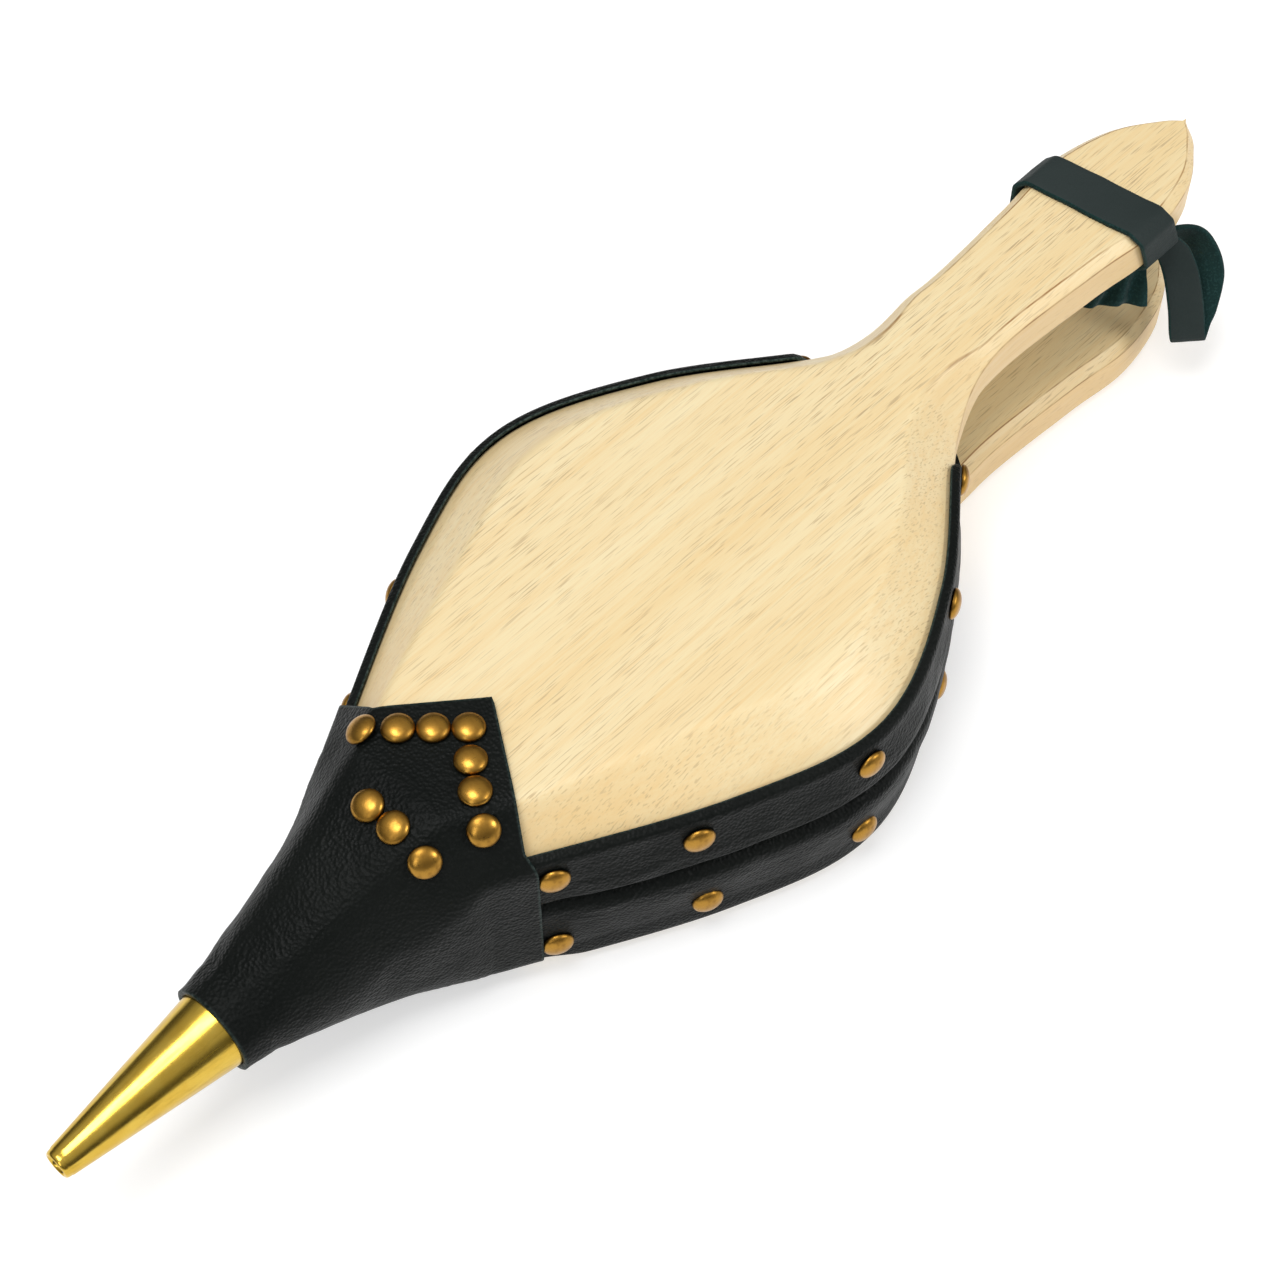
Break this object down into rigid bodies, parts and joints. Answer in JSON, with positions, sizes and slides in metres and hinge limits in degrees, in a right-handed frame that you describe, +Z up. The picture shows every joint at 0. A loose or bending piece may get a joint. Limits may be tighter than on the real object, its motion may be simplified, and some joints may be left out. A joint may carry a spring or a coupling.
{
  "type": "hand bellows",
  "caption": "Fireplace hand bellows: pear-shaped wooden boards with handles, joined by folded black leather held with domed tacks, with a tapered brass nozzle.",
  "frame": {"origin": "middle of the length and width, on the plane that the lower board lies on", "axes": "+X from the nozzle to the handles, +Z up from the lower board to the upper board"},
  "size_m": [0.5, 0.1702, 0.0833],
  "materials": {
    "beech": "satin varnish",
    "block_wood": "plain",
    "nozzle_brass": "polished",
    "black_leather": "fine pebbled grain",
    "suede": "suede",
    "tack_bronze": "antiqued"
  },
  "bodies": {
    "lower": {"lower_board": "beech", "nose_block": "block_wood", "nose_leather": "black_leather", "nozzle": "nozzle_brass", "side_leather": "black_leather", "tack_cross_1": "tack_bronze", "tack_cross_2": "tack_bronze", "tack_cross_3": "tack_bronze", "tack_lower_far_1": "tack_bronze", "tack_lower_far_2": "tack_bronze", "tack_lower_far_3": "tack_bronze", "tack_lower_far_4": "tack_bronze", "tack_lower_far_5": "tack_bronze", "tack_lower_near_1": "tack_bronze", "tack_lower_near_2": "tack_bronze", "tack_lower_near_3": "tack_bronze", "tack_lower_near_4": "tack_bronze", "tack_lower_near_5": "tack_bronze", "tack_under_1": "tack_bronze", "tack_under_2": "tack_bronze", "tack_under_3": "tack_bronze", "tack_under_4": "tack_bronze", "tack_valve_hinge_1": "tack_bronze", "tack_valve_hinge_2": "tack_bronze", "tack_valve_keeper_1": "tack_bronze", "tack_valve_keeper_2": "tack_bronze", "valve_hinge": "suede", "valve_keeper": "suede"},
    "upper": {"upper_board": "beech", "tack_upper_far_1": "tack_bronze", "tack_upper_far_2": "tack_bronze", "tack_upper_far_3": "tack_bronze", "tack_upper_far_4": "tack_bronze", "tack_upper_far_5": "tack_bronze", "tack_upper_near_1": "tack_bronze", "tack_upper_near_2": "tack_bronze", "tack_upper_near_3": "tack_bronze", "tack_upper_near_4": "tack_bronze", "tack_upper_near_5": "tack_bronze", "tack_v_far_1": "tack_bronze", "tack_v_far_2": "tack_bronze", "tack_v_far_3": "tack_bronze", "tack_v_near_1": "tack_bronze", "tack_v_near_2": "tack_bronze", "tack_v_near_3": "tack_bronze", "tack_v_point": "tack_bronze"},
    "valve": {"valve_flap": "block_wood"},
    "strap": {"strap_band": "black_leather", "strap_gather": "suede", "strap_loop": "black_leather"}
  },
  "joints": [
    {"name": "board_hinge", "type": "hinge", "parent": "lower", "child": "upper", "pos_m": [-0.1182, 0, 0.0775], "axis": [0, -1, 0], "range_deg": [-3, 18], "deforming": ["side_leather", "nose_leather"]},
    {"name": "valve_flap_hinge", "type": "hinge", "parent": "lower", "child": "valve", "pos_m": [-0.019, 0, 0.0263], "axis": [0, -1, 0], "range_deg": [0, 10]},
    {"name": "strap_slide", "type": "slide", "parent": "upper", "child": "strap", "axis": [1, 0, 0], "range_m": [0, 0.062]}
  ]
}
